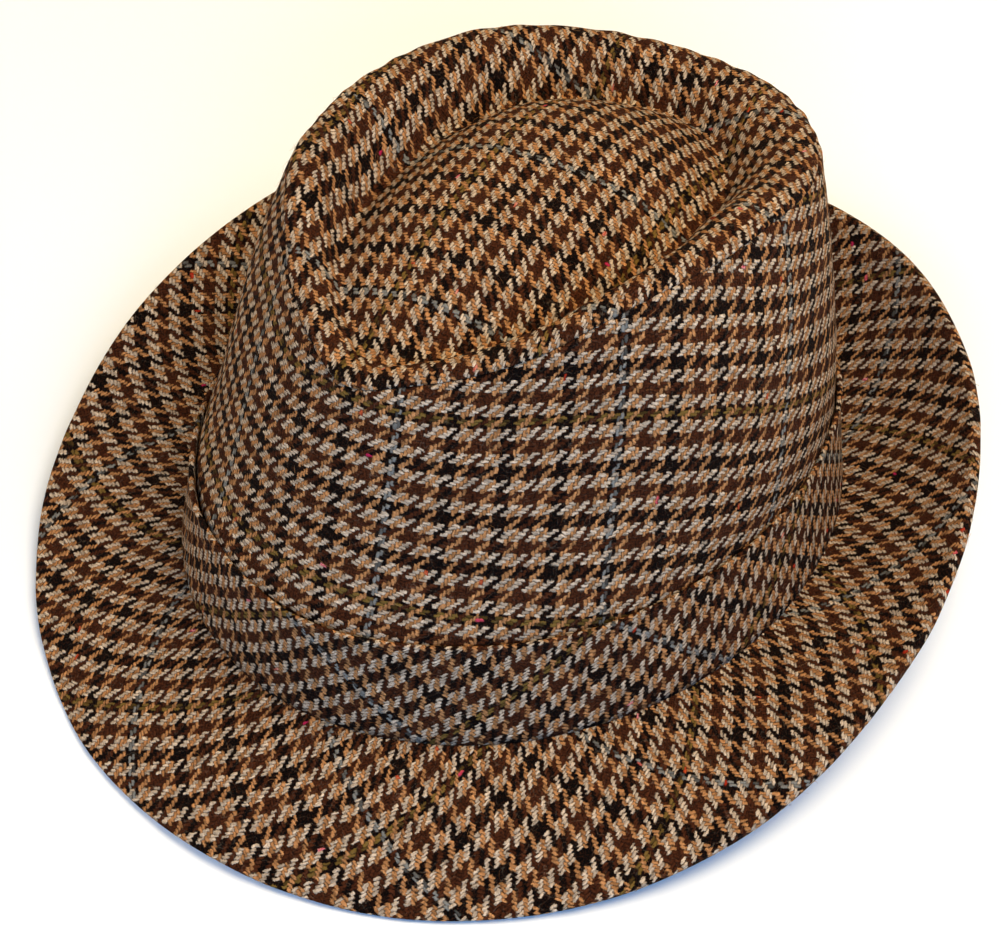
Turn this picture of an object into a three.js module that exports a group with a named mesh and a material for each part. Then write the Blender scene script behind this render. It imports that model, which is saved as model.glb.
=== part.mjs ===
// A cloth fedora: a teardrop crown pinched at the front, a cloth band, and a brim that is turned down
// at the front and up at the sides and back. It rests on its brim.
//
// Millimetres. The hat is worked out upright on the head: -Y is the wearer's front, +X the wearer's left,
// and z = 0 is where the crown meets the brim. It is then tipped back onto the table. In the finished
// part z = 0 is the table, and the origin is below the middle of the hat.
// A turn is an angle round the head in degrees: 0 is the front, 90 the left side, 180 the back.

import * as THREE from "three";

const { degToRad, radToDeg, lerp } = THREE.MathUtils;

// Made-up cloth and the gap kept between two pieces.
const CROWN_THICK = 2;
const BAND_THICK = 1.5;
const BRIM_THICK = 3;
const GAP = 0.3;

// The oval round the foot of the band.
const HEAD_LENGTH = 204;
const HEAD_WIDTH = 182;
const HEAD_EGG = 0.015; // the back is wider than the middle by this share, and the front narrower

// The hat band's height, measured up its slope, and what it gains at the front and loses at the back.
const BAND_HEIGHT = 28;
const BAND_HEIGHT_CHANGE = 4.5;

// The seam round the top of the crown: its distance from the middle of the head, and its height.
const SEAM = [
  { turn: 0, out: 68, up: 90 },
  { turn: 15, out: 64, up: 93 },
  { turn: 30, out: 60.5, up: 96 },
  { turn: 45, out: 59, up: 100 },
  { turn: 60, out: 59.5, up: 106 },
  { turn: 75, out: 61.5, up: 109.5 },
  { turn: 90, out: 64, up: 109 },
  { turn: 110, out: 70.5, up: 107 },
  { turn: 130, out: 82, up: 102.5 },
  { turn: 155, out: 93, up: 96.5 },
  { turn: 180, out: 99, up: 91 },
];
// The crown leans a little to the left, so its seam there is higher and further out.
const LEAN_UP = 4;
const LEAN_OUT = 1.5;

// The side of the crown: how far the band's top stands in from its foot, and how far the cloth above the
// band bows outward at half its height.
const SIDE = [
  { turn: 0, bandIn: 4, bow: -1 },
  { turn: 45, bandIn: 6, bow: 0 },
  { turn: 90, bandIn: 6.7, bow: 4 },
  { turn: 135, bandIn: 1, bow: 1.6 },
  { turn: 180, bandIn: -1, bow: -1.8 },
];

// The brim: how far it reaches beyond the oval, and how high its edge stands.
const BRIM = [
  { turn: 0, reach: 40, rise: -20 },
  { turn: 30, reach: 41.5, rise: -20 },
  { turn: 60, reach: 44, rise: -8 },
  { turn: 90, reach: 40.5, rise: 13 },
  { turn: 120, reach: 35, rise: 27 },
  { turn: 150, reach: 31.5, rise: 30 },
  { turn: 180, reach: 33, rise: 23 },
];
const BRIM_CURL = 0.35; // how much the slope grows towards the edge, as a share of it

// The tip folds over just inside the seam: it rises by RIM_RISE to a rounded rim, and at the distance
// called fold it already falls at 45 degrees into the groove.
const RIM_RISE = 2.5;
const RIM = [
  { turn: 0, fold: 9 },
  { turn: 30, fold: 10 },
  { turn: 60, fold: 10 },
  { turn: 90, fold: 11 },
  { turn: 115, fold: 15.5 },
  { turn: 135, fold: 17 },
  { turn: 160, fold: 16 },
  { turn: 180, fold: 15 },
];

// The teardrop mound in the middle of the tip, measured from its own centre: how far out its outline is,
// and how far it has dropped there.
const MOUND_CENTRE = new THREE.Vector2(2, 18);
const MOUND_UP = 106;
const MOUND_POWER = 2.7;
const MOUND = [
  { turn: 0, out: 76, drop: 18 },
  { turn: 20, out: 66, drop: 17 },
  { turn: 45, out: 53, drop: 15 },
  { turn: 65, out: 44, drop: 14 },
  { turn: 90, out: 41, drop: 14 },
  { turn: 120, out: 42, drop: 14 },
  { turn: 150, out: 46, drop: 13.5 },
  { turn: 180, out: 48, drop: 13 },
];
const GROOVE_ROUND = 4; // how softly rim and mound run into each other

// How the hat lies: tipped back by PITCH, with the middle of the head's oval at REST_HEIGHT.
const PITCH = degToRad(5);
const REST_HEIGHT = 10.6;

// Fineness of the mesh.
const TURNS = 80;
const BRIM_STEPS = [1, 0.95, 0.85, 0.7, 0.53, 0.36, 0.18, 0];
const BAND_STEPS = [0, 1 / 3, 2 / 3, 1];
const SIDE_STEPS = [1 / 6, 2 / 6, 3 / 6, 4 / 6, 5 / 6, 1];
const RIM_STEPS = [0, 0.12, 0.26, 0.42, 0.58, 0.74, 0.88, 1]; // from the seam to the groove
const MOUND_STEPS = [0.1, 0.24, 0.4, 0.58, 0.78]; // from the groove to the middle of the tip

const TWEED = {
  crown_tip: 0x9a7448,
  crown_side: 0x8a7868,
  hat_band: 0x85705c,
  brim: 0x94704a,
};

// ---- Helpers ----

// A smooth value for any turn from one column of a table. The rows give the left side of the hat, and the
// right side mirrors it.
function column(table, name) {
  const last = table.length - 1;
  const slopes = table.map((row, i) => {
    if (i === 0 || i === last) return 0;
    const before = table[i - 1];
    const after = table[i + 1];
    return (after[name] - before[name]) / (after.turn - before.turn);
  });
  return (turn) => {
    const side = Math.abs(((turn + 540) % 360) - 180);
    const i = Math.min(table.findLastIndex((row) => row.turn <= side), last - 1);
    const width = table[i + 1].turn - table[i].turn;
    const t = (side - table[i].turn) / width;
    const step = t * t * (3 - 2 * t);
    const leave = slopes[i] * width * t * (1 - t) ** 2;
    const arrive = slopes[i + 1] * width * t * t * (t - 1);
    return lerp(table[i][name], table[i + 1][name], step) + leave + arrive;
  };
}

const seamOut = column(SEAM, "out");
const seamUp = column(SEAM, "up");
const bandIn = column(SIDE, "bandIn");
const sideBow = column(SIDE, "bow");
const brimReach = column(BRIM, "reach");
const brimRise = column(BRIM, "rise");
const rimFold = column(RIM, "fold");
const moundOut = column(MOUND, "out");
const moundDrop = column(MOUND, "drop");

// The larger of two heights, with the crease between them rounded.
function softMax(a, b, round) {
  return (a + b + Math.hypot(a - b, round)) / 2;
}

const turnOf = (i) => (360 * i) / TURNS;

// One ring of points round the hat.
function ring(pointAt) {
  return Array.from({ length: TURNS }, (_, i) => pointAt(turnOf(i), i));
}

// The rings of a surface moved to its hidden side by a cloth's thickness.
function thickened(rings, thick) {
  return rings.map((points, row) => {
    const above = rings[Math.min(row + 1, rings.length - 1)];
    const below = rings[Math.max(row - 1, 0)];
    return points.map((point, i) => {
      const along = points[(i + 1) % TURNS].clone().sub(points[(i + TURNS - 1) % TURNS]);
      const across = above[i].clone().sub(below[i]);
      const outward = along.cross(across).normalize();
      return point.clone().addScaledVector(outward, -thick);
    });
  });
}

// Triangles between two rings that start at the given vertices.
function strip(first, second) {
  const faces = [];
  for (let i = 0; i < TURNS; i++) {
    const next = (i + 1) % TURNS;
    faces.push(first + i, first + next, second + next);
    faces.push(first + i, second + next, second + i);
  }
  return faces;
}

function geometryOf(points, faces) {
  const geometry = new THREE.BufferGeometry().setFromPoints(points);
  geometry.setIndex(faces);
  geometry.computeVertexNormals();
  return geometry;
}

// A solid hoop from rings in order round its section, the last joined to the first.
function hoop(rings) {
  const faces = rings.flatMap((_, k) => strip(k * TURNS, ((k + 1) % rings.length) * TURNS));
  return geometryOf(rings.flat(), faces);
}

// A solid cap from rings that run in over its top to a point, and rings that run in under it to another.
function cap(over, topPoint, under, underPoint) {
  const rings = [...over, ...under.toReversed()];
  const top = rings.length * TURNS;
  const faces = rings.flatMap((_, k) => {
    if (k === over.length - 1) return [];
    return strip(k * TURNS, ((k + 1) % rings.length) * TURNS);
  });
  for (let i = 0; i < TURNS; i++) {
    const next = (i + 1) % TURNS;
    const overRing = (over.length - 1) * TURNS;
    const underRing = over.length * TURNS;
    faces.push(overRing + i, overRing + next, top);
    faces.push(underRing + next, underRing + i, top + 1);
  }
  return geometryOf([...rings.flat(), topPoint, underPoint], faces);
}

// ---- The upright hat ----

// A point on the head's oval, moved square to it by a distance outward.
function ovalPoint(turn, outward, up) {
  const angle = degToRad(turn);
  const sin = Math.sin(angle);
  const cos = Math.cos(angle);
  const x = (HEAD_WIDTH / 2) * sin * (1 - HEAD_EGG * cos);
  const y = (-HEAD_LENGTH / 2) * cos;
  const alongX = (HEAD_WIDTH / 2) * (cos - HEAD_EGG * (cos * cos - sin * sin));
  const alongY = (HEAD_LENGTH / 2) * sin;
  const speed = Math.hypot(alongX, alongY);
  return new THREE.Vector3(x + (outward * alongY) / speed, y - (outward * alongX) / speed, up);
}

function seamPoint(turn) {
  const angle = degToRad(turn);
  const out = seamOut(turn) + LEAN_OUT * Math.sin(angle);
  const up = seamUp(turn) + LEAN_UP * Math.sin(angle);
  return new THREE.Vector3(out * Math.sin(angle), -out * Math.cos(angle), up);
}

// The cloth of the band zone, at a share of the band's height and a distance outside the oval.
function bandPoint(turn, share, outward) {
  const slope = BAND_HEIGHT + BAND_HEIGHT_CHANGE * Math.cos(degToRad(turn));
  const inward = bandIn(turn);
  const height = Math.sqrt(slope ** 2 - inward ** 2);
  return ovalPoint(turn, outward - inward * share, GAP + height * share);
}

// The bare side of the crown, at a share of the way from the band's top edge to the seam.
function sidePoint(turn, share) {
  const foot = bandPoint(turn, 1, -BAND_THICK - GAP);
  const seam = seamPoint(turn);
  const along = bandPoint(turn + 1, 1, 0).sub(bandPoint(turn - 1, 1, 0));
  const outward = along.cross(seam.clone().sub(foot)).normalize();
  return foot.lerp(seam, share).addScaledVector(outward, 4 * share * (1 - share) * sideBow(turn));
}

// The height of the rim's own curve at a distance inside the seam.
function rimUp(turn, inward) {
  const fold = rimFold(turn);
  const crest = Math.sqrt(RIM_RISE ** 2 + 2 * RIM_RISE * fold) - RIM_RISE;
  const fall = 1 / (2 * (fold - crest));
  return seamPoint(turn).z + RIM_RISE - fall * (inward - crest) ** 2;
}

// The height of the mound's own curve at a place in plan.
function moundUp(place) {
  const x = place.x - MOUND_CENTRE.x;
  const y = place.y - MOUND_CENTRE.y;
  const way = radToDeg(Math.atan2(x, -y));
  const share = Math.hypot(x, y) / moundOut(way);
  return MOUND_UP - moundDrop(way) * share ** MOUND_POWER;
}

// A point of the tip, at a share of the way from the seam to the middle. Its height is the higher of rim
// and mound.
function tipPoint(turn, share) {
  const seam = seamPoint(turn);
  const middle = new THREE.Vector3(MOUND_CENTRE.x, MOUND_CENTRE.y, seam.z);
  const inward = seam.distanceTo(middle) * share;
  const point = seam.lerp(middle, share);
  point.z = GAP + softMax(rimUp(turn, inward), moundUp(point), GROOVE_ROUND);
  return point;
}

// The share of the way at which the rim's curve has come down to the mound's, found by halving.
function grooveShare(turn) {
  const seam = seamPoint(turn);
  const middle = new THREE.Vector3(MOUND_CENTRE.x, MOUND_CENTRE.y, seam.z);
  const way = seam.distanceTo(middle);
  let outer = 0;
  let inner = 1;
  for (let halving = 0; halving < 20; halving++) {
    const share = (outer + inner) / 2;
    const place = seam.clone().lerp(middle, share);
    if (rimUp(turn, way * share) > moundUp(place)) {
      outer = share;
    } else {
      inner = share;
    }
  }
  return outer;
}

function brimPoint(turn, share) {
  const curl = share + BRIM_CURL * share * (share - 1);
  return ovalPoint(turn, GAP + share * (brimReach(turn) - GAP), brimRise(turn) * curl);
}

// ---- Onto the table ----

const FRONT_AXIS = new THREE.Vector3(1, 0, 0);

function rested(rings) {
  return rings.map((points) =>
    points.map((point) => {
      const lying = point.clone().applyAxisAngle(FRONT_AXIS, -PITCH);
      lying.z += REST_HEIGHT;
      return lying;
    }),
  );
}

// Cloth that would reach below the table lies flat on it.
function flattened(rings) {
  for (const point of rings.flat()) {
    point.z = Math.max(point.z, 0);
  }
  return rings;
}

// ---- The pieces ----

function brimGeometry() {
  const ledge = -BAND_THICK - GAP - CROWN_THICK;
  const upper = BRIM_STEPS.map((share) => ring((turn) => brimPoint(turn, share)));
  upper.push(ring((turn) => ovalPoint(turn, ledge, 0)));
  const top = rested(upper);
  const under = flattened(thickened(top, BRIM_THICK));
  const edge = top[0].map((point, i) => {
    const outward = ovalPoint(turnOf(i), 1, 0).sub(ovalPoint(turnOf(i), 0, 0));
    return point.clone().lerp(under[0][i], 0.5).addScaledVector(outward, BRIM_THICK / 4);
  });
  return hoop([edge, ...top, ...under.toReversed()]);
}

function bandGeometry() {
  const outside = rested(BAND_STEPS.map((share) => ring((turn) => bandPoint(turn, share, 0))));
  const inside = thickened(outside, BAND_THICK);
  // The band's foot and top edge stay level with the outside's.
  inside[0].forEach((point, i) => (point.z = outside[0][i].z));
  return hoop([...outside, ...inside.toReversed()]);
}

function sideGeometry() {
  const low = BAND_STEPS.map((share) => ring((turn) => bandPoint(turn, share, -BAND_THICK - GAP)));
  const high = SIDE_STEPS.map((share) => ring((turn) => sidePoint(turn, share)));
  const outside = rested([...low, ...high]);
  const inside = thickened(outside, CROWN_THICK);
  const last = outside.length - 1;
  inside[0].forEach((point, i) => (point.z = outside[0][i].z));
  inside[last].forEach((point, i) => (point.z = outside[last][i].z));
  return hoop([...outside, ...inside.toReversed()]);
}

function tipGeometry() {
  const rimRings = RIM_STEPS.map((step) => ring((turn) => tipPoint(turn, grooveShare(turn) * step)));
  const moundRings = MOUND_STEPS.map((step) =>
    ring((turn) => tipPoint(turn, lerp(grooveShare(turn), 1, step))),
  );
  const over = rested([...rimRings, ...moundRings]);
  const under = thickened(over, CROWN_THICK);
  under[0].forEach((point, i) => (point.z = over[0][i].z));
  const middle = rested([[tipPoint(0, 1)]])[0][0];
  const below = middle.clone();
  below.z -= CROWN_THICK;
  return cap(over, middle, under, below);
}

const pieces = {
  brim: brimGeometry(),
  hat_band: bandGeometry(),
  crown_side: sideGeometry(),
  crown_tip: tipGeometry(),
};

// The brim is the widest piece, so the origin goes below the middle of it.
pieces.brim.computeBoundingBox();
const middle = pieces.brim.boundingBox.getCenter(new THREE.Vector3());

const fedora = new THREE.Group();
for (const [name, geometry] of Object.entries(pieces)) {
  const material = new THREE.MeshStandardMaterial({ color: TWEED[name], roughness: 0.95, metalness: 0 });
  const mesh = new THREE.Mesh(geometry, material);
  mesh.name = name;
  fedora.add(mesh);
}
fedora.position.set(-middle.x, -middle.y, 0);

export default fedora;
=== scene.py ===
"""A tweed fedora: a teardrop crown pinched at the front, a bias-cut band, and a bias-cut brim that is turned
down at the front and up at the sides and back. It rests on its brim on a pale floor.

The cloth is worked out upright on the head, in millimetres: -y is the wearer's front, +x the wearer's left,
and z = 0 is where the crown meets the brim. A turn is an angle round the head in degrees: 0 is the front,
90 the left side and 180 the back. Each surface is a grid of points, with a row for each ring round the hat.
"""

import math

import bmesh
import bpy
import numpy as np
from mathutils import Matrix, Vector


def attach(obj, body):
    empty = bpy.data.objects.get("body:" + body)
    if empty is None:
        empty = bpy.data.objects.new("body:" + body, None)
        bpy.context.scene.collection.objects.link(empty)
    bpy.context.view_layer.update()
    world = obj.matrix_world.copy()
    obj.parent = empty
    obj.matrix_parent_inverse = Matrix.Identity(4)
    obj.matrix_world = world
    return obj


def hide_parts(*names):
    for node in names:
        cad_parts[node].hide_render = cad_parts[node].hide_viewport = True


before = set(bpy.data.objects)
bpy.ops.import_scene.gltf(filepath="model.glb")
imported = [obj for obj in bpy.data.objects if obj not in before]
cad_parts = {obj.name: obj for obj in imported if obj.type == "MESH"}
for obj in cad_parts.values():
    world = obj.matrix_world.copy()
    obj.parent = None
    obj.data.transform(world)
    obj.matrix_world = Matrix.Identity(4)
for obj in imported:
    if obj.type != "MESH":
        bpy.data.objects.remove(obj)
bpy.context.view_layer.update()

# ==== Sizes, in millimetres ====

CROWN_THICK = 2.0
BAND_THICK = 1.5
BRIM_THICK = 3.0
GAP = 0.3

HEAD_LENGTH = 204
HEAD_WIDTH = 182
HEAD_EGG = 0.015

BAND_HEIGHT = 28
BAND_HEIGHT_CHANGE = 4.5

# Each table's rows run from the front to the back of the left side, and the right side mirrors them.
SEAM = {
    "turn": (0, 15, 30, 45, 60, 75, 90, 110, 130, 155, 180),
    "out": (68, 64, 60.5, 59, 59.5, 61.5, 64, 70.5, 82, 93, 99),
    "up": (90, 93, 96, 100, 106, 109.5, 109, 107, 102.5, 96.5, 91),
}
LEAN_UP = 4
LEAN_OUT = 1.5

SIDE = {
    "turn": (0, 45, 90, 135, 180),
    "band_in": (4, 6, 6.7, 1, -1),
    "bow": (-1, 0, 4, 1.6, -1.8),
}
BRIM = {
    "turn": (0, 30, 60, 90, 120, 150, 180),
    "reach": (40, 41.5, 44, 40.5, 35, 31.5, 33),
    "rise": (-20, -20, -8, 13, 27, 30, 23),
}
BRIM_CURL = 0.35

RIM_RISE = 2.5
RIM = {
    "turn": (0, 30, 60, 90, 115, 135, 160, 180),
    "fold": (9, 10, 10, 11, 15.5, 17, 16, 15),
}
MOUND_CENTRE = (2, 18)
MOUND_UP = 106
MOUND_POWER = 2.7
MOUND = {
    "turn": (0, 20, 45, 65, 90, 120, 150, 180),
    "out": (76, 66, 53, 44, 41, 42, 46, 48),
    "drop": (18, 17, 15, 14, 14, 14, 13.5, 13),
}
GROOVE_ROUND = 4

PITCH = math.radians(5)
REST_HEIGHT = 10.6

TURNS = 400

# ==== The cloth's surfaces, upright on the head ====


def column(table, name):
    """A smooth value for any turn from one column of a table."""
    at = np.array(table["turn"], float)
    value = np.array(table[name], float)
    slope = np.zeros(len(at))
    slope[1:-1] = (value[2:] - value[:-2]) / (at[2:] - at[:-2])

    def value_at(turn):
        side = np.abs((np.asarray(turn, float) + 540) % 360 - 180)
        i = np.clip(np.searchsorted(at, side, side="right") - 1, 0, len(at) - 2)
        width = at[i + 1] - at[i]
        t = (side - at[i]) / width
        step = t * t * (3 - 2 * t)
        bend = slope[i] * t * (1 - t) ** 2 - slope[i + 1] * t * t * (1 - t)
        return value[i] + (value[i + 1] - value[i]) * step + width * bend

    return value_at


seam_out = column(SEAM, "out")
seam_up = column(SEAM, "up")
band_in = column(SIDE, "band_in")
side_bow = column(SIDE, "bow")
brim_reach = column(BRIM, "reach")
brim_rise = column(BRIM, "rise")
rim_fold = column(RIM, "fold")
mound_out = column(MOUND, "out")
mound_drop = column(MOUND, "drop")


def soft_max(a, b, round_by):
    return (a + b + np.hypot(a - b, round_by)) / 2


def place(x, y, z):
    return np.stack(np.broadcast_arrays(x, y, z), -1).astype(float)


def unit(vectors):
    return vectors / np.linalg.norm(vectors, axis=-1, keepdims=True)


def oval(turn, outward, up):
    """Points on the head's oval, moved square to it by a distance outward."""
    sin, cos = np.sin(np.radians(turn)), np.cos(np.radians(turn))
    along_x = HEAD_WIDTH / 2 * (cos - HEAD_EGG * (cos * cos - sin * sin))
    along_y = HEAD_LENGTH / 2 * sin
    speed = np.hypot(along_x, along_y)
    x = HEAD_WIDTH / 2 * sin * (1 - HEAD_EGG * cos)
    y = -HEAD_LENGTH / 2 * cos
    return place(x + outward * along_y / speed, y - outward * along_x / speed, up)


def seam(turn):
    sin, cos = np.sin(np.radians(turn)), np.cos(np.radians(turn))
    out = seam_out(turn) + LEAN_OUT * sin
    return place(out * sin, -out * cos, seam_up(turn) + LEAN_UP * sin)


def band_zone(turn, share, outward):
    """The band, or the crown's cloth below it, at a share of the band's height."""
    slope = BAND_HEIGHT + BAND_HEIGHT_CHANGE * np.cos(np.radians(turn))
    height = np.sqrt(slope**2 - band_in(turn) ** 2)
    return oval(turn, outward - band_in(turn) * share, GAP + height * share)


def bare_side(turn, share):
    """The crown's side, at a share of the way from the band's top edge to the seam."""
    foot = band_zone(turn, 1, -BAND_THICK - GAP)
    top = seam(turn)
    along = band_zone(turn + 1, 1, 0) - band_zone(turn - 1, 1, 0)
    outward = unit(np.cross(along, top - foot))
    share = np.asarray(share)[..., None]
    return foot + (top - foot) * share + outward * 4 * share * (1 - share) * side_bow(turn)[..., None]


def rim_up(turn, inward):
    fold = rim_fold(turn)
    crest = np.sqrt(RIM_RISE**2 + 2 * RIM_RISE * fold) - RIM_RISE
    return seam(turn)[..., 2] + RIM_RISE - (inward - crest) ** 2 / (2 * (fold - crest))


def mound_up(x, y):
    x, y = x - MOUND_CENTRE[0], y - MOUND_CENTRE[1]
    way = np.degrees(np.arctan2(x, -y))
    return MOUND_UP - mound_drop(way) * (np.hypot(x, y) / mound_out(way)) ** MOUND_POWER


def tip_between(turn, share):
    """Where a share of the way from the seam to the middle lies in plan, and its distance from the seam."""
    start = seam(turn)[..., :2]
    way = np.array(MOUND_CENTRE) - start
    at = start + way * np.asarray(share)[..., None]
    return at, np.linalg.norm(way, axis=-1) * share


def tip(turn, share):
    at, inward = tip_between(turn, share)
    up = GAP + soft_max(rim_up(turn, inward), mound_up(at[..., 0], at[..., 1]), GROOVE_ROUND)
    return place(at[..., 0], at[..., 1], up)


def groove_share(turn):
    """The share of the way to the tip's middle at which the rim has come down to the mound."""
    outer, inner = np.zeros_like(turn), np.ones_like(turn)
    for _ in range(20):
        share = (outer + inner) / 2
        at, inward = tip_between(turn, share)
        above = rim_up(turn, inward) > mound_up(at[..., 0], at[..., 1])
        outer = np.where(above, share, outer)
        inner = np.where(above, inner, share)
    return outer


def brim(turn, share):
    curl = share + BRIM_CURL * share * (share - 1)
    return oval(turn, GAP + share * (brim_reach(turn) - GAP), brim_rise(turn) * curl)


# ==== Laying the woven cloth on the surfaces ====

# How each piece's cloth lies: the way in which its thread numbers grow on the flat piece, in degrees from
# the x axis, the millimetres between two threads, and the number at the origin.
BRIM_CLOTH = {"warp": (45.6, 0.911, -26), "weft": (134.6, 0.8165, 43.9)}
BAND_CLOTH = {"warp": (48, 0.935, -10.4), "weft": (126, 0.79, -13.2)}
TIP_CLOTH = {"warp": (97, 0.886, -19), "weft": (187, 0.79, -12.8)}


def steps_along(grid, axis):
    return np.linalg.norm(np.diff(grid, axis=axis), axis=-1)


def unrolled(grid):
    """A cone-like wall's rows laid flat from the front, by turning each narrow strip beside the last."""
    along, up = steps_along(grid, 1), steps_along(grid, 0).sum(0)
    narrowing = (along[0] - along[-1]) / (up[1:] + up[:-1]) * 2
    heading = np.append(0, np.cumsum(narrowing))
    front = grid.shape[1] // 2
    heading -= heading[front]
    middle = (heading[1:] + heading[:-1]) / 2
    x = np.append(0, np.cumsum(along[0] * np.cos(middle)))
    y = np.append(0, np.cumsum(along[0] * np.sin(middle)))
    height = np.concatenate([np.zeros((1, len(heading))), np.cumsum(steps_along(grid, 0), 0)])
    flat_x = x - x[front] - np.sin(heading) * height
    return np.stack([flat_x, y - y[front] + np.cos(heading) * height], -1)


def strip(grid, middle, eased):
    """A strip laid flat, with x along its middle row and y across it from there. Eased round a curve, the
    threads of a strip cut on the bias keep their length and their angle gives."""
    along = steps_along(grid, 1)
    start = np.append(0, np.cumsum(along[middle]))
    start -= start[len(start) // 2]
    across = steps_along(grid, 0)
    if eased:
        pace = np.concatenate([along[:, :1], (along[:, 1:] + along[:, :-1]) / 2, along[:, -1:]], 1)
        pace = pace / pace[middle]
        across = across / np.sqrt(np.maximum(2 - ((pace[1:] + pace[:-1]) / 2) ** 2, 0.3))
    width = np.concatenate([np.zeros((1, grid.shape[1])), np.cumsum(across, 0)])
    return np.stack([np.broadcast_to(start, width.shape), width - width[middle]], -1)


def threads(flat, cloth):
    """Flat cloth in millimetres to the numbers of its warp and weft threads."""
    numbers = []
    for way, pitch, start in (cloth["warp"], cloth["weft"]):
        way = math.radians(way)
        numbers.append((flat[..., 0] * math.cos(way) + flat[..., 1] * math.sin(way)) / pitch + start)
    return np.stack(numbers, -1)


def ease(value, start, end):
    """Smoothly from 0 at start to 1 at end."""
    t = np.clip((value - start) / (end - start), 0, 1)
    return t * t * (3 - 2 * t)


# The crown's side, flat: x runs round it from the front, and y up it from its foot.
SIDE_WARP_PITCH = 0.958
SIDE_WARP_SLANT = 0.087
SIDE_WARP_START = -24.05
SIDE_WARP_CLOSER = 0.00026  # for each millimetre away from the front
SIDE_WEFT_PITCH = 0.81
SIDE_WEFT_SLANT = 0.04
SIDE_WEFT_LEVEL = 43.1  # the height at which the weft keeps its place
SIDE_WEFT_START = 1.4
DRAWN_APART = 0.09  # how much wider the weft's pitch is where the crown is tallest
TALLEST_AT = 86
TALLEST_REACH = 38
BACK_TILT = 0.13
BACK_TILT_FROM = 95
BACK_TILT_LEVEL = 105


def side_threads(flat):
    """The crown's side has its warp upright. Blocking has drawn the weft apart where the crown is tallest,
    lifted it on the right of the pinch, and tilted both a little towards the back."""
    x, y = flat[..., 0], flat[..., 1]
    across = x + SIDE_WARP_SLANT * y
    warp = across * (1 + SIDE_WARP_CLOSER * np.abs(across)) / SIDE_WARP_PITCH + SIDE_WARP_START
    pitch = SIDE_WEFT_PITCH + DRAWN_APART * np.exp(-(((np.abs(x) - TALLEST_AT) / TALLEST_REACH) ** 2))
    weft = (y + SIDE_WEFT_SLANT * x - SIDE_WEFT_LEVEL) / pitch + SIDE_WEFT_START
    left = ease(x, 60, 100) * (0.027 * (weft - 40) - 0.6)
    right_high_up = ease(x, 0, -30) * ease(y, 50, 70) * 2
    warp = warp + left + right_high_up
    weft = weft + ease(x, 8, -34) * (1.8 + 4.2 * ease(y, 40, 75))
    weft = weft - BACK_TILT * ease(y, 90, 120) * (np.maximum(warp, BACK_TILT_FROM) - BACK_TILT_LEVEL)
    return np.stack([warp, weft], -1)


# ==== Making up the pieces ====

TURN = np.linspace(-180, 180, TURNS + 1)
BESIDE_BACK = np.array((0.2, 0.45))  # extra columns next to the seam at the back, in degrees
TURN = np.sort(np.concatenate([TURN, 180 - BESIDE_BACK, BESIDE_BACK - 180]))

SEAM_DITCH = 0.55  # how far a seam pulls the cloth in
SEAM_WIDTH = 0.9
ROLL_WIDTH = 1.8  # the cloth rolls under beside the seam of the tip
ROLL_DEPTH = 0.8
BAND_LOOSE = 0.65
EDGE_STEPS = 8

# The brim's strip was steamed into its curve, which turned its weft, most beyond this place along it.
STEAMED_FROM = 110
STEAMED_ROUND = 25
STEAMED_TURN = 0.065
STEAMED_SLANT = 0.02


def ring_rows(surface, shares, *more):
    return np.stack([surface(TURN, share, *more) for share in shares])


def rested(points):
    """From upright on the head to lying on the table."""
    x, y, z = points[..., 0], points[..., 1], points[..., 2]
    back = y * math.cos(PITCH) + z * math.sin(PITCH)
    up = z * math.cos(PITCH) - y * math.sin(PITCH)
    return place(x, back, up + REST_HEIGHT)


def outward_of(rows):
    """Directions out of the cloth, from each point's neighbours in its row and across the rows."""
    open_rows = rows[:, :-1]
    along = np.roll(open_rows, -1, 1) - np.roll(open_rows, 1, 1)
    along = np.concatenate([along, along[:, :1]], 1)
    facing = np.cross(along, np.gradient(rows, axis=0))
    size = np.linalg.norm(facing, axis=-1, keepdims=True)
    return facing / np.maximum(size, 1e-9)


def thickened(rows, thick):
    return rows - outward_of(rows) * thick


def swell(points, wavelength, seed):
    """A gentle random unevenness, from waves in fixed random directions."""
    draw = np.random.default_rng(seed)
    ways = unit(draw.normal(size=(16, 3))) * draw.uniform(0.6, 1.5, (16, 1))
    starts = draw.uniform(0, 2 * math.pi, 16)
    return np.sin(points @ ways.T * (2 * math.pi / wavelength) + starts).sum(-1) / 4


def unevenness(points, *waves):
    """The sum of swells, each given as its height, its wavelength and its seed."""
    return sum(height * swell(points, wavelength, seed) for height, wavelength, seed in waves)


def rounded_edge(start, end, way, bulge):
    """Rows that bend round from one row to another, and stand out by a bulge half-way."""
    bend = np.radians(np.linspace(0, 180, EDGE_STEPS + 1)[1:-1])
    half = (end - start) / 2
    return np.stack([start + half * (1 - math.cos(a)) + way * math.sin(a) * bulge for a in bend])


def back_ditch():
    """How far the seam at the back pulls each column in."""
    from_seam = np.radians(180 - np.abs(TURN)) * HEAD_LENGTH / 2
    return SEAM_DITCH * np.exp(-((from_seam / SEAM_WIDTH) ** 2))


def rolled_under(distance):
    """How far cloth rolls in at a distance from the tip's seam."""
    near = np.clip(1 - distance / ROLL_WIDTH, 0, 1)
    return ROLL_DEPTH * (1 - np.sqrt(1 - near**2))


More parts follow.
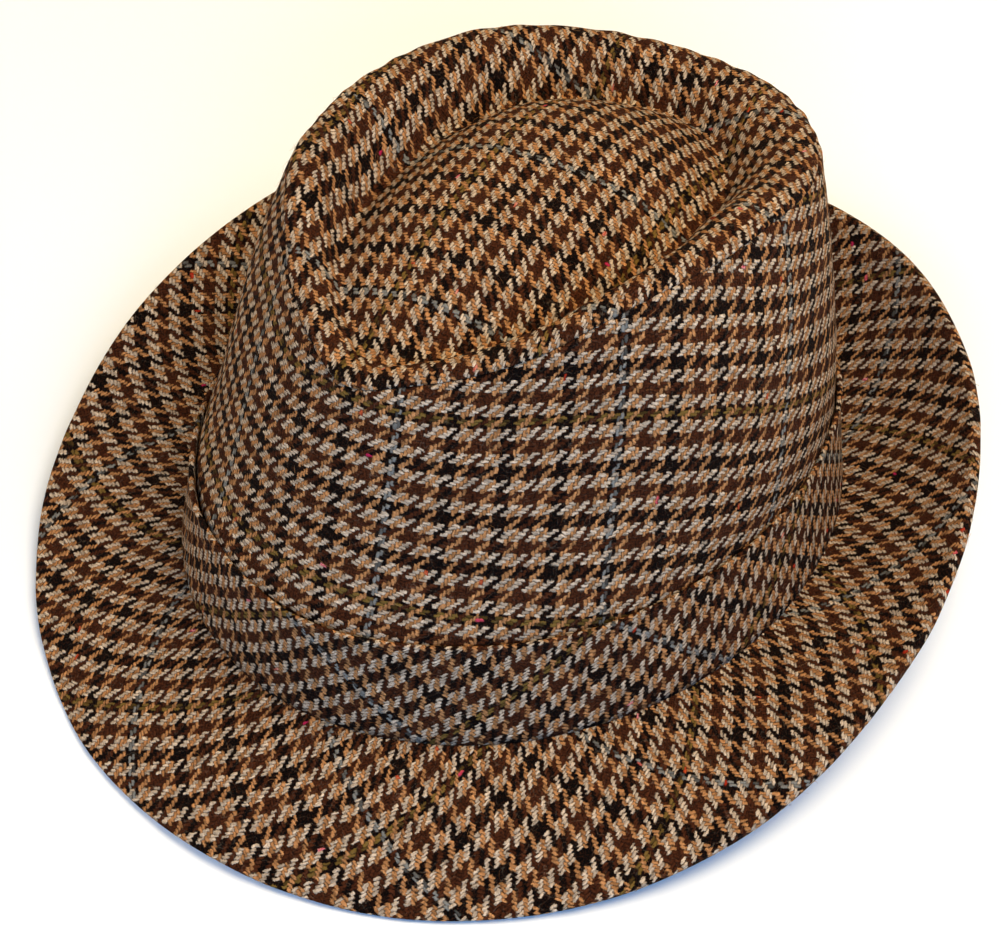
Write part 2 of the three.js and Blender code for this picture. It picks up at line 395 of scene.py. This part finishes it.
def made_up(name, rows, counts):
    """A closed piece from rows of points round the hat, each joined to the next and the last to the first.
    counts holds thread counts at each point, and one more row of them for the first row met again."""
    across, around = rows.shape[0], rows.shape[1] - 1
    index = np.arange(across * around).reshape(across, around)
    middles = np.ptp(rows, axis=1).max(-1) < 1e-6
    index[middles] = index[middles][:, :1]
    index = np.concatenate([index, index[:, :1]], 1)
    index = np.concatenate([index, index[:1]])
    used, index = np.unique(index, return_inverse=True)
    index = index.reshape(across + 1, around + 1)

    def corners(grid):
        faces = np.stack([grid[:-1, :-1], grid[:-1, 1:], grid[1:, 1:], grid[1:, :-1]], 2)
        return faces.reshape(across * around, 4, -1)

    faces, cloth = [], []
    for face, laid in zip(corners(index)[..., 0].tolist(), corners(counts)):
        keep = [k for k in range(4) if face[k] != face[k - 1]]
        if len(keep) > 2:
            faces.append([face[k] for k in keep])
            cloth.append(laid[keep])
    mesh = bpy.data.meshes.new(name)
    mesh.from_pydata((rows[:, :-1].reshape(-1, 3)[used] / 1000).tolist(), [], faces)
    mesh.uv_layers.new(name="cloth").data.foreach_set("uv", np.concatenate(cloth).ravel())
    mesh.polygons.foreach_set("use_smooth", np.ones(len(faces), bool))
    mesh.update()
    piece = bpy.data.objects.new(name, mesh)
    bpy.context.scene.collection.objects.link(piece)
    return piece


def brim_piece():
    ledge = -BAND_THICK - GAP - CROWN_THICK
    shares = np.concatenate([np.linspace(1, 0.9, 5)[:-1], np.linspace(0.9, 0, 26)])
    top = np.concatenate([ring_rows(brim, shares), oval(TURN, ledge, 0)[None]])
    top = rested(top)
    free = np.append(shares, 0)[:, None, None]
    uneven = unevenness(top, (0.3, 60, 1), (0.12, 17, 2))
    top = top + outward_of(top) * free * (uneven - back_ditch())[..., None]
    under = thickened(top, BRIM_THICK)
    under[..., 2] = np.maximum(under[..., 2], 0)
    outward = oval(TURN, 1, 0) - oval(TURN, 0, 0)
    edge = rounded_edge(under[0], top[0], outward, BRIM_THICK / 4)
    rows = np.concatenate([under[::-1], edge, top])
    flat = strip(np.concatenate([rows, rows[:1]]), len(rows) - len(top) // 2, eased=False)
    counts = threads(flat, BRIM_CLOTH)
    beyond = flat[..., 0] - STEAMED_FROM
    steamed = STEAMED_TURN * (np.hypot(beyond, STEAMED_ROUND) - STEAMED_ROUND)
    counts[..., 1] -= steamed + STEAMED_SLANT * beyond
    return made_up("tweed_brim", rows, counts)


def band_piece():
    shares = np.append(np.linspace(0, 0.93, 14), (0.95, 0.975, 1))
    outside = ring_rows(band_zone, shares, 0)
    outside = rested(outside)
    uneven = unevenness(outside, (0.12, 45, 3), (0.06, 12, 4))
    # The top edge stands off the crown here and there.
    loose = BAND_LOOSE * np.clip(0.6 + swell(outside[-1:], 60, 11), 0, 2)
    uneven = uneven + loose * shares[:, None] ** 12
    outside = outside + outward_of(outside) * (uneven - back_ditch())[..., None]
    inside = thickened(outside, BAND_THICK)
    inside[0, :, 2] = outside[0, :, 2]
    upward = unit(outside[-1] - outside[-2])
    edge = rounded_edge(outside[-1], inside[-1], upward, BAND_THICK / 2)
    rows = np.concatenate([outside, edge, inside[::-1]])
    flat = strip(np.concatenate([rows, rows[:1]]), len(outside) // 2, eased=True)
    return made_up("tweed_hat_band", rows, threads(flat, BAND_CLOTH))


def from_last(rows):
    """Each point's distance along the cloth from the last row."""
    steps = steps_along(rows, 0)[::-1]
    return np.concatenate([np.zeros((1, rows.shape[1])), np.cumsum(steps, 0)])[::-1]


def puckers(distance, seed):
    """Small gathers that the seam of the tip leaves in the cloth beside it."""
    draw = np.random.default_rng(seed)
    waves = draw.integers(34, 64, 9)
    starts = draw.uniform(0, 2 * math.pi, 9)
    gather = np.sin(np.radians(TURN)[:, None] * waves + starts).sum(-1) / 3
    return 0.18 * gather * np.exp(-distance / 6)


def side_piece():
    low = ring_rows(band_zone, np.linspace(0, 1, 9)[:-1], -BAND_THICK - GAP)
    shares = np.append(np.linspace(0, 0.965, 36), (0.974, 0.982, 0.988, 0.993, 0.997, 1))
    outside = rested(np.concatenate([low, ring_rows(bare_side, shares)]))
    flat = unrolled(outside)
    distance = from_last(outside)
    uneven = unevenness(outside, (0.35, 55, 5), (0.12, 16, 6)) + puckers(distance, 7)
    free = np.clip((np.arange(len(outside)) - len(low)) / 6, 0, 1)[:, None]
    move = free * uneven - rolled_under(distance) - free * back_ditch()
    outward = outward_of(outside)
    inside = outside - outward * CROWN_THICK
    outside = outside + outward * move[..., None]
    inside[0, :, 2] = outside[0, :, 2]
    inside[-1, :, 2] = outside[-1, :, 2]
    counts = side_threads(flat)
    rows = np.concatenate([outside, inside[::-1]])
    return made_up("tweed_crown_side", rows, np.concatenate([counts, counts[::-1], counts[:1]]))


def tip_piece():
    groove = groove_share(TURN)
    near = np.concatenate([(0, 0.01, 0.02, 0.035, 0.055, 0.08), np.linspace(0.11, 1, 36)])
    far = np.linspace(0, 1, 36)[1:]
    outside = [tip(TURN, groove * step) for step in near]
    outside += [tip(TURN, groove + (1 - groove) * step) for step in far]
    outside = np.stack(outside)
    outside[-1] = outside[-1, 0]
    # Laid flat, each point keeps its direction from the middle, at the mean of its plan and arc distance.
    arc = from_last(outside)
    plan = outside[..., :2] - MOUND_CENTRE
    reach = np.maximum(np.linalg.norm(plan, axis=-1), 1e-9)
    flat = MOUND_CENTRE + plan * ((arc + reach) / reach / 2)[..., None]
    flat[-1] = MOUND_CENTRE
    outside = rested(outside)
    distance = from_last(outside[::-1])[::-1]
    uneven = unevenness(outside, (0.3, 50, 8), (0.1, 15, 9)) + puckers(distance, 10)
    outward = outward_of(outside)
    outward[-1] = (0, 0, 1)
    inside = outside - outward * CROWN_THICK
    outside = outside + outward * (uneven - rolled_under(distance))[..., None]
    outside[-1] = outside[-1].mean(0)
    inside[-1] = outside[-1] - (0, 0, CROWN_THICK)
    inside[0, :, 2] = outside[0, :, 2]
    counts = threads(flat, TIP_CLOTH)
    rows = np.concatenate([outside, inside[::-1]])
    return made_up("tweed_crown_tip", rows, np.concatenate([counts, counts[::-1], counts[:1]]))


pieces = {
    "brim": brim_piece(),
    "hat_band": band_piece(),
    "crown_side": side_piece(),
    "crown_tip": tip_piece(),
}

# The origin lies below the middle of the brim, which is the widest piece.
edge_box = np.array([corner for corner in pieces["brim"].bound_box])
middle = (edge_box.min(0) + edge_box.max(0)) / 2
for piece in pieces.values():
    piece.data.transform(Matrix.Translation((-middle[0], -middle[1], 0)))


# ==== Shader maths ====


class Shader:
    """Builds one material's nodes."""

    def __init__(self, name):
        self.material = bpy.data.materials.new(name)
        self.material.use_nodes = True
        self.tree = self.material.node_tree
        self.tree.nodes.clear()

    def node(self, kind, settings=None, sockets=None):
        """Adds a node: first its settings, then its sockets' values or links."""
        made = self.tree.nodes.new(kind)
        for name, value in (settings or {}).items():
            setattr(made, name, value)
        for name, value in (sockets or {}).items():
            socket = made.inputs[name]
            if isinstance(value, Signal):
                self.tree.links.new(value.socket, socket)
            elif value is not None:
                socket.default_value = value
        return made

    def out(self, made, name=0):
        return Signal(self, made.outputs[name])

    def maths(self, operation, *values):
        sockets = dict(enumerate(values))
        return self.out(self.node("ShaderNodeMath", {"operation": operation}, sockets))

    def blend(self, share, first, second, kind="MIX"):
        """Mixes two colours, or works one on the other."""
        settings = {"data_type": "RGBA", "blend_type": kind, "clamp_result": False}
        made = self.node("ShaderNodeMix", settings, {0: share, 6: first, 7: second})
        return self.out(made, 2)

    def joined(self, x, y, z=0.0):
        return self.out(self.node("ShaderNodeCombineXYZ", {}, {0: x, 1: y, 2: z}))

    def noise(self, where, scale, detail=0.0, roughness=0.5):
        sockets = {"Vector": where, "Scale": scale, "Detail": detail, "Roughness": roughness}
        return self.node("ShaderNodeTexNoise", {"noise_dimensions": "3D"}, sockets)


class Signal:
    """A socket's value inside a shader. Python's operators on it add Math nodes."""

    def __init__(self, shader, socket):
        self.shader = shader
        self.socket = socket

    def __add__(self, other):
        return self.shader.maths("ADD", self, other)

    __radd__ = __add__

    def __sub__(self, other):
        return self.shader.maths("SUBTRACT", self, other)

    def __rsub__(self, other):
        return self.shader.maths("SUBTRACT", other, self)

    def __mul__(self, other):
        return self.shader.maths("MULTIPLY", self, other)

    __rmul__ = __mul__

    def __truediv__(self, other):
        return self.shader.maths("DIVIDE", self, other)

    def __pow__(self, other):
        return self.shader.maths("POWER", self, other)

    def __mod__(self, other):
        return self.shader.maths("FLOORED_MODULO", self, other)

    def __lt__(self, other):
        return self.shader.maths("LESS_THAN", self, other)

    def __gt__(self, other):
        return self.shader.maths("GREATER_THAN", self, other)

    def __abs__(self):
        return self.shader.maths("ABSOLUTE", self)

    def floor(self):
        return self.shader.maths("FLOOR", self)

    def sqrt(self):
        return self.shader.maths("SQRT", self)

    def at_least(self, other):
        return self.shader.maths("MAXIMUM", self, other)

    def ramp(self, low, high, start=0.0, end=1.0):
        """Smoothly from start at low to end at high, and level beyond them."""
        settings = {"interpolation_type": "SMOOTHSTEP"}
        sockets = {"Value": self, "From Min": low, "From Max": high, "To Min": start, "To Max": end}
        return self.shader.out(self.shader.node("ShaderNodeMapRange", settings, sockets))


# ==== Tweed ====

TAN = (0.335, 0.16, 0.064, 1)
CREAM = (0.41, 0.33, 0.25, 1)
BROWN = (0.040, 0.0118, 0.0048, 1)
BLACK = (0.0016, 0.0013, 0.0015, 1)
SLATE = (0.25, 0.26, 0.25, 1)
OLIVE = (0.20, 0.125, 0.03, 1)
RUST = (0.11, 0.035, 0.014, 1)
FLECK = (0.50, 0.035, 0.012, 1)
FLECK_PINK = (0.50, 0.02, 0.09, 1)

STRIPE = 4  # threads in each light or dark stripe of the houndstooth
REPEAT = 64  # threads from one accent pair to the next

# How the cloth wanders: the fineness of each noise, and how many threads it pushes by.
WANDER = ((0.05, 1.6), (0.4, 1.5), (2.2, 0.8), (5.5, 0.6))

# One float's stretch of yarn on top, in threads.
OFF_LINE = 0.25  # how far a float may lie aside of its place
WARP_LEAN = 0.1
WEFT_LEAN = 0.08
WARP_SLIM = 1.95
WEFT_SLIM = 1.85
CROWN_OF_YARN = 1.25
ENDS_DIP = 0.7
ENDS_SHARP = 2.5
FIBRE_HEIGHT = 0.35
GAP_PAINTED_SHADE = 0.12  # painted shade: how far the colour is darkened in the gaps between floats
FLECKED = 0.9985  # a float whose first lot, from 0 to 1, is above this has a fleck
PINK_FLECKED = 0.7  # and a pink one where its second lot is above this


def yarn_colour(s, thread, light, accent, patchy):
    """A thread's dyed colour from its number in the cloth."""
    dark = thread % (2 * STRIPE) < STRIPE
    black = thread % (4 * STRIPE) < 2 * STRIPE
    paired = abs(thread % REPEAT - 1.5) < 0.9
    colour = s.blend(black, BROWN, BLACK)
    colour = s.blend(dark, light, colour)
    return s.blend(paired * patchy, colour, accent)


def pushed(s, where, scale, detail=1.0):
    """Two noises between about -0.3 and 0.3, to push the thread numbers about."""
    parts = s.node("ShaderNodeSeparateXYZ", {}, {0: s.out(s.noise(where, scale, detail), "Color")})
    return s.out(parts, 0) - 0.5, s.out(parts, 1) - 0.5


def hairs(s, where, scale, width):
    """Thin wandering lines where a noise passes through its middle."""
    ridge = abs(s.out(s.noise(where, scale, 1), "Fac") - 0.5)
    return ridge.ramp(0.0, width, 1.0, 0.0)


def tweed():
    s = Shader("tweed")
    on_cloth = s.out(s.node("ShaderNodeUVMap", {"uv_map": "cloth"}))
    parts = s.node("ShaderNodeSeparateXYZ", {}, {0: on_cloth})
    warp, weft = s.out(parts, 0), s.out(parts, 1)

    # Threads drift over a hand's width, waver over a few threads, and fray by the fibre.
    for scale, reach in WANDER:
        ends_by, picks_by = pushed(s, on_cloth, scale)
        warp, weft = warp + ends_by * reach, weft + picks_by * reach

    end, pick = warp.floor(), weft.floor()
    in_end, in_pick = warp - end, weft - pick

    # Two over, two under, one thread further on at each pick. Each float is a yarn's stretch on top.
    step = (end - pick) % 4
    warp_up = step < 1.5
    yarn = pick + (end - pick) * warp_up
    float_number = s.joined(yarn, ((end - pick) / 4).floor(), warp_up)
    lot = s.node("ShaderNodeTexWhiteNoise", {}, {"Vector": float_number})
    lots = s.node("ShaderNodeSeparateXYZ", {}, {0: s.out(lot, "Color")})
    first_lot, second_lot, third_lot = s.out(lots, 0), s.out(lots, 1), s.out(lots, 2)
    aside = (third_lot - 0.5) * OFF_LINE
    along_warp = (step + 1 - in_pick) * 0.5
    along_weft = (step - 2 + in_end) * 0.5
    across_warp = abs(in_end - 0.5 + (along_warp - 0.5) * WARP_LEAN + aside) * WARP_SLIM
    across_weft = abs(in_pick - 0.5 - (along_weft - 0.5) * WEFT_LEAN + aside) * WEFT_SLIM
    across = across_weft + (across_warp - across_weft) * warp_up
    along = along_weft + (along_warp - along_weft) * warp_up
    ends_round = abs(along * 2 - 1) ** ENDS_SHARP
    height = (CROWN_OF_YARN - across * across - ends_round * ENDS_DIP).at_least(0.0).sqrt()

    # Fibres run along each yarn, and its shade changes from float to float.
    over_ends = s.out(s.noise(s.joined(warp * 2.4, weft * 0.7, 0.0), 1.0, 2, 0.7), "Fac")
    over_picks = s.out(s.noise(s.joined(warp * 0.7, weft * 2.4, 7.0), 1.0, 2, 0.7), "Fac")
    fibres = over_picks + (over_ends - over_picks) * warp_up
    patchy = fibres.ramp(0.35, 0.6, 0.95, 0.45)
    broken = patchy * second_lot.ramp(0.0, 0.5, 0.35, 1.0)
    warp_colour = yarn_colour(s, end, TAN, SLATE, broken)
    weft_colour = yarn_colour(s, pick, CREAM, OLIVE, broken)
    colour = s.blend(warp_up, weft_colour, warp_colour)
    fleck = s.blend(second_lot > PINK_FLECKED, FLECK, FLECK_PINK)
    colour = s.blend((first_lot > FLECKED) * patchy, colour, fleck)

    shade = fibres.ramp(0.28, 0.72, 0.5, 1.5) * (second_lot * 0.5 + 0.75)
    # Painted shade: the colour darkens down each float's sides and ends, and most in the gaps between floats,
    # as the yarn's rounding would shade it.
    light = shade * height.ramp(0.1, 0.95, GAP_PAINTED_SHADE, 1.0)
    colour = s.blend(1.0, colour, s.joined(light, light, light), "MULTIPLY")
    # Loose hairs lie over the yarns: rust ones, which show on the dark checks, and a few pale ones.
    skewed = s.joined(warp * 0.55 + weft * 0.35, weft * 0.9 - warp * 0.3, 11.0)
    colour = s.blend(hairs(s, skewed, 1.7, 0.05) * 0.25, colour, RUST)
    colour = s.blend(hairs(s, s.joined(weft * 0.5, warp * 0.4, 23.0), 0.6, 0.010) * 0.12, colour, CREAM)

    raised = height + fibres * FIBRE_HEIGHT
    bump = s.node("ShaderNodeBump", {}, {"Strength": 1.0, "Distance": 0.0004, "Height": raised})
    cloth_face = s.node(
        "ShaderNodeBsdfPrincipled",
        {},
        {
            "Base Color": colour,
            "Roughness": 0.95,
            "Sheen Weight": 0.01,
            "Sheen Roughness": 0.5,
            "Sheen Tint": (0.9, 0.8, 0.7, 1),
            "Specular IOR Level": 0.03,
            "Normal": s.out(bump),
        },
    )
    s.node("ShaderNodeOutputMaterial", {}, {"Surface": s.out(cloth_face)})
    return s.material


def stray_wool():
    """The material of the hairs that stand off the cloth, some paler than others."""
    s = Shader("stray_wool")
    where = s.out(s.node("ShaderNodeTexCoord"), "Object")
    paler = s.out(s.noise(where, 400.0), "Fac").ramp(0.35, 0.65)
    colour = s.blend(paler, RUST, TAN)
    sockets = {"Base Color": colour, "Roughness": 0.8, "Specular IOR Level": 0.1}
    face = s.node("ShaderNodeBsdfPrincipled", {}, sockets)
    s.node("ShaderNodeOutputMaterial", {}, {"Surface": s.out(face)})
    return s.material


tweed_cloth = tweed()
for node, piece in pieces.items():
    piece.data.materials.append(tweed_cloth)
    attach(piece, "root")
    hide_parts(node)

# ==== Hairs that stand off the cloth ====

# Lengths here are in metres.
HAIR_LENGTH = 0.0034
HAIR_THICK = 0.00006
HAIR_BEND = 0.0005
HAIR_LIFT = 0.0005
HAIR_STEPS = 5
HAIR_FOOT = 0.00005  # how far a hair's foot lies off the cloth
HAIRLESS_BELOW = 0.004  # no hair reaches the floor
HAIRLESS_FACING = 0.25  # hairs grow only on cloth that faces up or away from the middle by more than this
FACING_AWAY = 12  # an outside wall that is a twelfth of a metre from the middle counts in full
HAIRS_PER_SQUARE_METRE = 17000


def one_hair():
    """A thin three-sided strand from the origin along x, bent sideways, with its tip lifted."""
    t = np.linspace(0, 1, HAIR_STEPS)
    bent = HAIR_BEND * np.sin(math.pi * t) ** 1.5
    middle = place(HAIR_LENGTH * (t - 0.5), bent, HAIR_FOOT + HAIR_LIFT * t * t)
    round_it = np.radians((90, 210, 330))
    thick = HAIR_THICK / 2 * np.sqrt(1 - t * 0.8)
    points = middle[:, None] + thick[:, None, None] * place(0, np.cos(round_it), np.sin(round_it))
    faces = [(2, 1, 0), tuple(3 * HAIR_STEPS - 3 + k for k in range(3))]
    for step in range(HAIR_STEPS - 1):
        for k in range(3):
            here, beside = 3 * step + k, 3 * step + (k + 1) % 3
            faces.append((here, beside, beside + 3, here + 3))
    mesh = bpy.data.meshes.new("one_hair")
    mesh.from_pydata(points.reshape(-1, 3).tolist(), [], faces)
    return bpy.data.objects.new("one_hair", mesh)


def scattered_over_cloth():
    """A node tree that scatters a hair over the cloth's outside, each turned and sized at random."""
    tree = bpy.data.node_groups.new("scattered_over_cloth", "GeometryNodeTree")
    for name, kind, way in (
        ("Cloth", "NodeSocketGeometry", "INPUT"),
        ("Hair", "NodeSocketObject", "INPUT"),
        ("Hairs per square metre", "NodeSocketFloat", "INPUT"),
        ("Seed", "NodeSocketInt", "INPUT"),
        ("Wool", "NodeSocketMaterial", "INPUT"),
        ("Hairs", "NodeSocketGeometry", "OUTPUT"),
    ):
        tree.interface.new_socket(name=name, in_out=way, socket_type=kind)

    def node(kind, settings=None, sockets=None):
        """Adds a node: first its settings, then its sockets' values or links."""
        made = tree.nodes.new(kind)
        for name, value in (settings or {}).items():
            setattr(made, name, value)
        for name, value in (sockets or {}).items():
            if isinstance(value, bpy.types.NodeSocket):
                tree.links.new(value, made.inputs[name])
            else:
                made.inputs[name].default_value = value
        return made

    def first(kind, settings=None, sockets=None):
        return node(kind, settings, sockets).outputs[0]

    def above(value, limit):
        settings = {"data_type": "FLOAT", "operation": "GREATER_THAN"}
        return first("FunctionNodeCompare", settings, {"A": value, "B": limit})

    def drawn(low, high, seed):
        settings = {"data_type": "FLOAT_VECTOR"}
        return first("FunctionNodeRandomValue", settings, {"Min": low, "Max": high, "Seed": seed})

    given = node("NodeGroupInput").outputs
    normal, position = first("GeometryNodeInputNormal"), first("GeometryNodeInputPosition")
    level = {0: position, 1: (FACING_AWAY, FACING_AWAY, 0)}
    away = {0: normal, 1: first("ShaderNodeVectorMath", {"operation": "MULTIPLY"}, level)}
    outward = node("ShaderNodeVectorMath", {"operation": "DOT_PRODUCT"}, away).outputs["Value"]
    up = node("ShaderNodeSeparateXYZ", {}, {"Vector": normal}).outputs["Z"]
    height = node("ShaderNodeSeparateXYZ", {}, {"Vector": position}).outputs["Z"]
    facing = first("ShaderNodeMath", {"operation": "MAXIMUM"}, {0: up, 1: outward})
    on_show = {0: above(facing, HAIRLESS_FACING), 1: above(height, HAIRLESS_BELOW)}
    spread = node(
        "GeometryNodeDistributePointsOnFaces",
        {"distribute_method": "RANDOM"},
        {
            "Mesh": given["Cloth"],
            "Selection": first("FunctionNodeBooleanMath", {"operation": "AND"}, on_show),
            "Density": given["Hairs per square metre"],
            "Seed": given["Seed"],
        },
    ).outputs
    turn = drawn((-0.15, -0.15, -math.pi), (0.15, 0.05, math.pi), given["Seed"])
    turn = first("FunctionNodeEulerToRotation", {}, {0: turn})
    turned = {"Rotation": spread["Rotation"], "Rotate By": turn}
    size = drawn((0.35, 0.3, 0.6), (1.5, 1.7, 1.6), 7)
    hair = node("GeometryNodeObjectInfo", {}, {"Object": given["Hair"]}).outputs["Geometry"]
    placed = {
        "Points": spread["Points"],
        "Instance": hair,
        "Rotation": first("FunctionNodeRotateRotation", {"rotation_space": "LOCAL"}, turned),
        "Scale": size,
    }
    hairs_on = first("GeometryNodeInstanceOnPoints", {}, placed)
    hairs_on = first("GeometryNodeRealizeInstances", {}, {"Geometry": hairs_on})
    hairs_on = first("GeometryNodeSetMaterial", {}, {"Geometry": hairs_on, "Material": given["Wool"]})
    node("NodeGroupOutput", {}, {"Hairs": hairs_on})
    return tree


def stray_hairs():
    """One mesh of all the hairs, scattered over a copy of all the cloth."""
    all_cloth = bmesh.new()
    for piece in pieces.values():
        all_cloth.from_mesh(piece.data)
    mesh = bpy.data.meshes.new("all_cloth")
    all_cloth.to_mesh(mesh)
    all_cloth.free()
    carrier = bpy.data.objects.new("all_cloth", mesh)
    bpy.context.scene.collection.objects.link(carrier)
    hair = one_hair()
    tree = scattered_over_cloth()
    modifier = carrier.modifiers.new("hairs", "NODES")
    modifier.node_group = tree
    values = {
        "Hair": hair,
        "Hairs per square metre": float(HAIRS_PER_SQUARE_METRE),
        "Seed": 3,
        "Wool": stray_wool(),
    }
    for socket in tree.interface.items_tree:
        if socket.name in values:
            modifier[socket.identifier] = values[socket.name]
    bpy.context.view_layer.update()
    evaluated = carrier.evaluated_get(bpy.context.evaluated_depsgraph_get())
    made = bpy.data.meshes.new_from_object(evaluated)
    carrier.modifiers.remove(modifier)
    for spare in (carrier, hair):
        bpy.data.objects.remove(spare)
    made.name = "stray_hairs"
    hairs_object = bpy.data.objects.new("stray_hairs", made)
    bpy.context.scene.collection.objects.link(hairs_object)
    return hairs_object


loose = stray_hairs()
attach(loose, "root")

# ==== Floor, light and camera ====


def plain(name, colour, roughness):
    s = Shader(name)
    face = s.node("ShaderNodeBsdfPrincipled", {}, {"Base Color": colour, "Roughness": roughness})
    s.node("ShaderNodeOutputMaterial", {}, {"Surface": s.out(face)})
    return s.material


floor_mesh = bpy.data.meshes.new("floor")
FLOOR_HALF = 3.0
FLOOR_DOWN = -0.0001
corners = [(-1, -1), (1, -1), (1, 1), (-1, 1)]
floor_mesh.from_pydata([(x * FLOOR_HALF, y * FLOOR_HALF, FLOOR_DOWN) for x, y in corners], [], [(0, 1, 2, 3)])
floor = bpy.data.objects.new("floor", floor_mesh)
bpy.context.scene.collection.objects.link(floor)
floor_mesh.materials.append(plain("pale_floor", (0.76, 0.85, 0.97, 1), 0.9))

HAT_MIDDLE = Vector((0, 0, 0.06))


def area_light(name, azimuth, elevation, distance, size, power, colour):
    """A square light that faces the hat. Azimuth 0 is the front and 90 the wearer's left."""
    way = Vector((math.sin(math.radians(azimuth)), -math.cos(math.radians(azimuth)), 0))
    way = way * math.cos(math.radians(elevation)) + Vector((0, 0, math.sin(math.radians(elevation))))
    lamp = bpy.data.lights.new(name, "AREA")
    lamp.size = size
    lamp.energy = power
    lamp.color = colour
    holder = bpy.data.objects.new(name, lamp)
    holder.location = HAT_MIDDLE + way * distance
    holder.rotation_euler = way.to_track_quat("Z", "Y").to_euler()
    bpy.context.scene.collection.objects.link(holder)


area_light("warm_key", 116, 64, 1.3, 0.9, 25, (1.0, 0.76, 0.45))
area_light("warm_side", -62, 28, 1.5, 0.8, 10, (1.0, 0.74, 0.42))
area_light("cool_fill", 44, 26, 1.5, 0.8, 16, (0.24, 0.53, 1.0))

world = bpy.data.worlds.new("studio")
world.use_nodes = True
world.node_tree.nodes["Background"].inputs["Color"].default_value = (1, 1, 1, 1)
world.node_tree.nodes["Background"].inputs["Strength"].default_value = 0.28
bpy.context.scene.world = world
bpy.context.scene.view_settings.view_transform = "Standard"

LOOK_AT = Vector((0.0234, -0.0289, 0.060))
CAMERA_AZIMUTH = math.radians(41.28)
CAMERA_ELEVATION = math.radians(48.35)
CAMERA_ROLL = math.radians(-7.04)
CAMERA_DISTANCE = 0.7634

across_view = Vector((math.cos(CAMERA_AZIMUTH), math.sin(CAMERA_AZIMUTH), 0))
toward_camera = Vector((math.sin(CAMERA_AZIMUTH), -math.cos(CAMERA_AZIMUTH), 0)) * math.cos(CAMERA_ELEVATION)
toward_camera += Vector((0, 0, math.sin(CAMERA_ELEVATION)))
up_view = toward_camera.cross(across_view)
right = across_view * math.cos(CAMERA_ROLL) + up_view * math.sin(CAMERA_ROLL)
up = toward_camera.cross(right)

lens = bpy.data.cameras.new("camera")
lens.lens = 103.1
lens.sensor_width = 36
lens.sensor_fit = "HORIZONTAL"
lens.clip_end = 20
camera = bpy.data.objects.new("camera", lens)
turned = Matrix((right, up, toward_camera)).transposed().to_4x4()
turned.translation = LOOK_AT + toward_camera * CAMERA_DISTANCE
camera.matrix_world = turned
bpy.context.scene.collection.objects.link(camera)
bpy.context.scene.camera = camera
